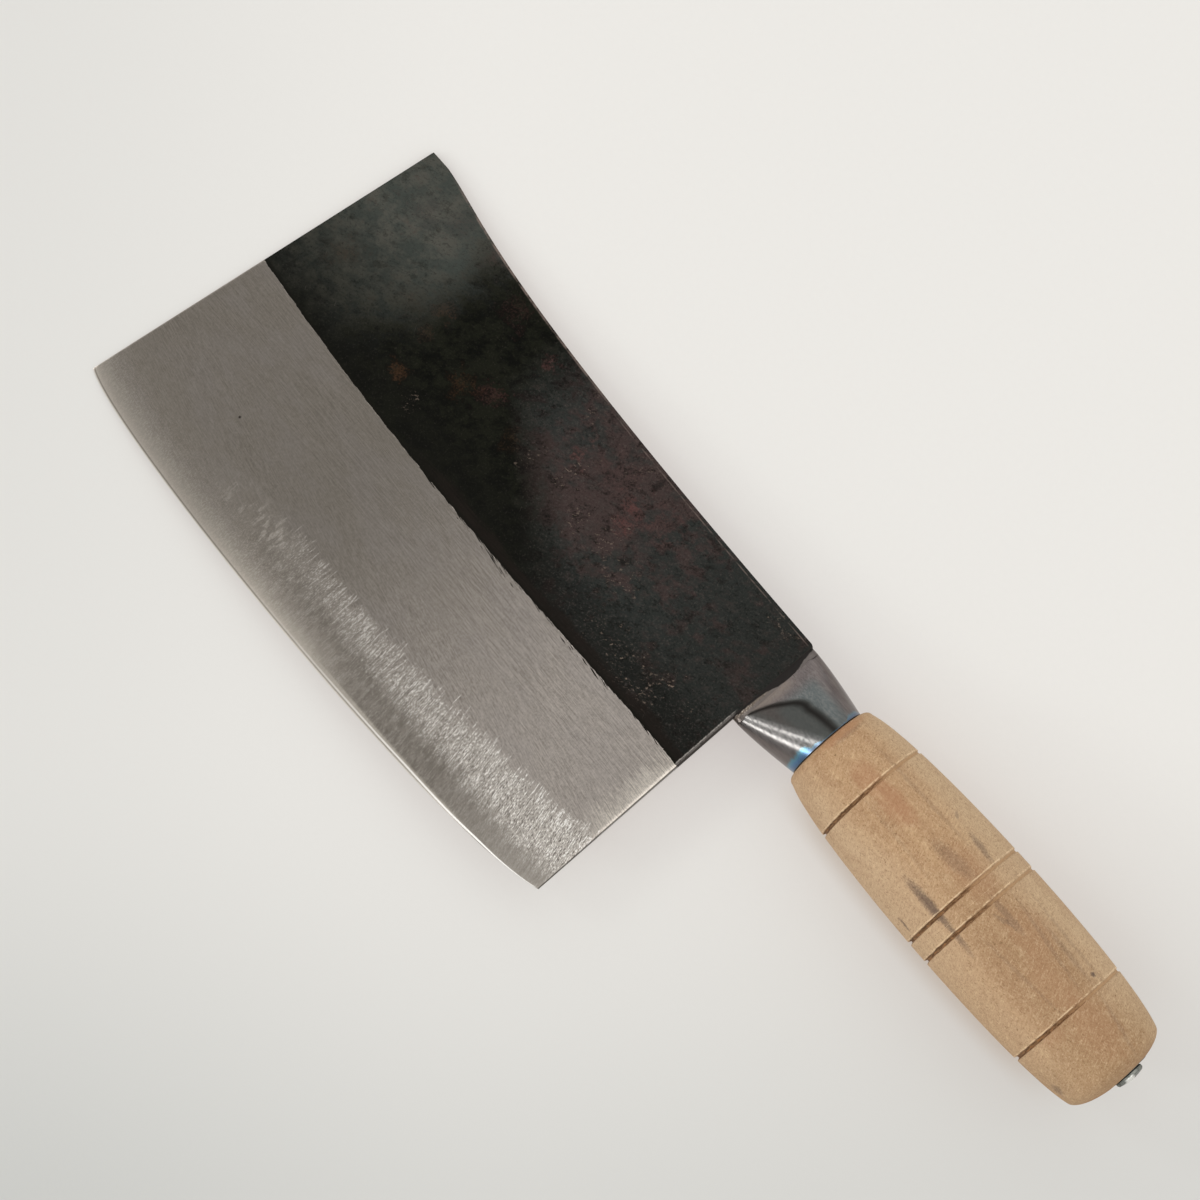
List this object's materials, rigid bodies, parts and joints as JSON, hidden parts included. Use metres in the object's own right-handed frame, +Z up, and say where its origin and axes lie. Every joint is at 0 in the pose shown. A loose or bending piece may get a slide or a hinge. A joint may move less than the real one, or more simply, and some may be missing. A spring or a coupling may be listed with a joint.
{
  "type": "chinese cleaver",
  "caption": "Small Chinese cleaver: broad forged blade with black flats and a ground edge, flattened steel neck, barrel-shaped wooden handle on a peened rod.",
  "frame": {"origin": "on the table, under the middle of the knife's bounding box, with the knife lying on its left face", "axes": "+X along the knife towards the butt of the handle, +Y from the cutting edge towards the spine, +Z up, out of the right face"},
  "size_m": [0.3014, 0.1074, 0.0367],
  "materials": {
    "blade_steel": "black forge scale on the upper half, satin ground steel towards the edge",
    "weld_steel": "sanded weld metal",
    "neck_steel": "polished sheet steel, heat-tinted blue at the mouth",
    "rod_steel": "bright mild steel, hammered at the butt",
    "pale_wood": "turned and unvarnished, fine pores and grey streaks"
  },
  "bodies": {
    "root": {"blade": "blade_steel", "neck_weld": "weld_steel", "neck_socket": "neck_steel", "tang_weld_right": "weld_steel", "tang_weld_left": "weld_steel", "tang_rod": "rod_steel", "handle": "pale_wood", "butt_washer": "rod_steel"}
  },
  "joints": []
}
